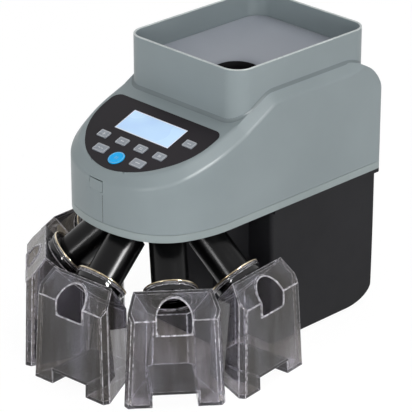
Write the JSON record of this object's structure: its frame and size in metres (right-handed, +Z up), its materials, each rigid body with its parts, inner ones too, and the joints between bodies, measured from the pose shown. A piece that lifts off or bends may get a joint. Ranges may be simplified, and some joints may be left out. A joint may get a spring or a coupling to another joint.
{
  "type": "coin sorter",
  "caption": "Counter-top coin sorter: open hopper over a hinged casing with a keypad and display, a feed disc, and slanted tubes leading to pull-out clear cups fanned round the front.",
  "frame": {"origin": "centre of the footprint, on the table", "axes": "+X the machine's right seen from the front, +Y towards its back, +Z up; the front faces -Y"},
  "size_m": [0.2886, 0.3766, 0.308],
  "materials": {
    "casing": "fine satin, moulded",
    "deck_band": "satin, moulded",
    "base_black": "fine texture, satin",
    "funnel_grey": "satin",
    "panel_dark": "printed membrane, satin",
    "display": "clear lens over a pale blue display",
    "electronics": "circuit board",
    "keys_grey": "satin",
    "key_blue": "satin gloss",
    "tube_black": "gloss",
    "cup_smoke": "smoky clear plastic, gloss",
    "latch_dark": "satin",
    "works_plastic": "brushed",
    "disc_plastic": "satin",
    "machined": "machined",
    "steel": "zinc plated",
    "rubber": "matt",
    "sensor": "satin"
  },
  "bodies": {
    "chassis": {"base_housing": "base_black", "base_plate": "base_black", "rubber_feet": "rubber", "base_screws": "steel", "deck_tray": "deck_band", "deck_screws": "steel", "chute_manifold": "base_black", "sorting_plate": "works_plastic", "guide_rail": "works_plastic", "coin_sensors": "sensor", "bearing_housing": "machined", "spindle_bearings": "steel", "gear_motor": "steel", "motor_bracket": "steel", "motor_screws": "steel", "bracket_screws": "steel", "drive_belt": "rubber", "main_board": "electronics", "power_supply": "steel", "power_inlet": "base_black", "rocker_frame": "base_black", "hinge_brackets": "steel", "hinge_pins": "steel", "latch_keeper": "steel", "coin_tube_1": "tube_black", "coin_tube_2": "tube_black", "coin_tube_3": "tube_black", "coin_tube_4": "tube_black", "coin_tube_5": "tube_black"},
    "disc": {"feed_disc": "disc_plastic", "spindle": "steel", "spindle_pulley": "machined", "disc_nut": "steel"},
    "rotor": {"motor_shaft": "steel", "motor_pulley": "machined"},
    "cover": {"top_cover": "casing", "hopper_funnel": "funnel_grey", "feed_chute": "funnel_grey", "control_panel": "panel_dark", "lcd_window": "display", "lcd_module": "electronics", "keypad_board": "electronics", "panel_screws": "steel", "cover_knuckles": "steel"},
    "latch": {"latch_button": "latch_dark"},
    "rocker": {"rocker_switch": "base_black"},
    "key_1_body": {"key_1": "keys_grey"},
    "key_2_body": {"key_2": "keys_grey"},
    "key_3_body": {"key_3": "keys_grey"},
    "key_4_body": {"key_4": "keys_grey"},
    "key_5_body": {"key_5": "keys_grey"},
    "key_6_body": {"key_6": "keys_grey"},
    "key_7_body": {"key_7": "keys_grey"},
    "key_8_body": {"key_8": "key_blue"},
    "cup_1": {"coin_cup_1": "cup_smoke"},
    "cup_2": {"coin_cup_2": "cup_smoke"},
    "cup_3": {"coin_cup_3": "cup_smoke"},
    "cup_4": {"coin_cup_4": "cup_smoke"},
    "cup_5": {"coin_cup_5": "cup_smoke"}
  },
  "joints": [
    {"name": "cover_hinge", "type": "hinge", "parent": "chassis", "child": "cover", "pos_m": [0, 0.18473, 0.1645], "axis": [-1, 0, 0], "range_deg": [0, 65]},
    {"name": "latch_slide", "type": "slide", "parent": "cover", "child": "latch", "axis": [0, 1, 0], "range_m": [0, 0.0025], "stiffness_N_per_m": 800},
    {"name": "disc_spin", "type": "hinge", "parent": "chassis", "child": "disc", "pos_m": [0, -0.04397, 0.1683], "axis": [0, 0, 1], "continuous": true},
    {"name": "motor_spin", "type": "hinge", "parent": "chassis", "child": "rotor", "pos_m": [0, 0.00503, 0.1381], "axis": [0, 0, 1], "continuous": true},
    {"name": "rocker_tilt", "type": "hinge", "parent": "chassis", "child": "rocker", "pos_m": [-0.01, 0.17453, 0.066], "axis": [1, 0, 0], "range_deg": [-8, 8]},
    {"name": "key_1_press", "type": "slide", "parent": "cover", "child": "key_1_body", "axis": [0, 0.3502, -0.9367], "range_m": [0, 0.0008], "stiffness_N_per_m": 1200},
    {"name": "key_2_press", "type": "slide", "parent": "cover", "child": "key_2_body", "axis": [0, 0.3502, -0.9367], "range_m": [0, 0.0008], "stiffness_N_per_m": 1200},
    {"name": "key_3_press", "type": "slide", "parent": "cover", "child": "key_3_body", "axis": [0, 0.3502, -0.9367], "range_m": [0, 0.0008], "stiffness_N_per_m": 1200},
    {"name": "key_4_press", "type": "slide", "parent": "cover", "child": "key_4_body", "axis": [0, 0.3502, -0.9367], "range_m": [0, 0.0008], "stiffness_N_per_m": 1200},
    {"name": "key_5_press", "type": "slide", "parent": "cover", "child": "key_5_body", "axis": [0, 0.3502, -0.9367], "range_m": [0, 0.0008], "stiffness_N_per_m": 1200},
    {"name": "key_6_press", "type": "slide", "parent": "cover", "child": "key_6_body", "axis": [0, 0.3502, -0.9367], "range_m": [0, 0.0008], "stiffness_N_per_m": 1200},
    {"name": "key_7_press", "type": "slide", "parent": "cover", "child": "key_7_body", "axis": [0, 0.3502, -0.9367], "range_m": [0, 0.0008], "stiffness_N_per_m": 1200},
    {"name": "key_8_press", "type": "slide", "parent": "cover", "child": "key_8_body", "axis": [0, 0.3502, -0.9367], "range_m": [0, 0.0008], "stiffness_N_per_m": 1200},
    {"name": "cup_1_pull", "type": "slide", "parent": "chassis", "child": "cup_1", "axis": [-0.9988, -0.0489, 0], "range_m": [0, 0.1]},
    {"name": "cup_2_pull", "type": "slide", "parent": "chassis", "child": "cup_2", "axis": [-0.6587, -0.7524, 0], "range_m": [0, 0.1]},
    {"name": "cup_3_pull", "type": "slide", "parent": "chassis", "child": "cup_3", "axis": [0.0837, -0.9965, 0], "range_m": [0, 0.1]},
    {"name": "cup_4_pull", "type": "slide", "parent": "chassis", "child": "cup_4", "axis": [0.7749, -0.632, 0], "range_m": [0, 0.1]},
    {"name": "cup_5_pull", "type": "slide", "parent": "chassis", "child": "cup_5", "axis": [0.993, 0.1184, 0], "range_m": [0, 0.1]}
  ],
  "couplings": [
    {"joint": "motor_spin", "follows": "disc_spin", "ratio": 1.6667}
  ]
}
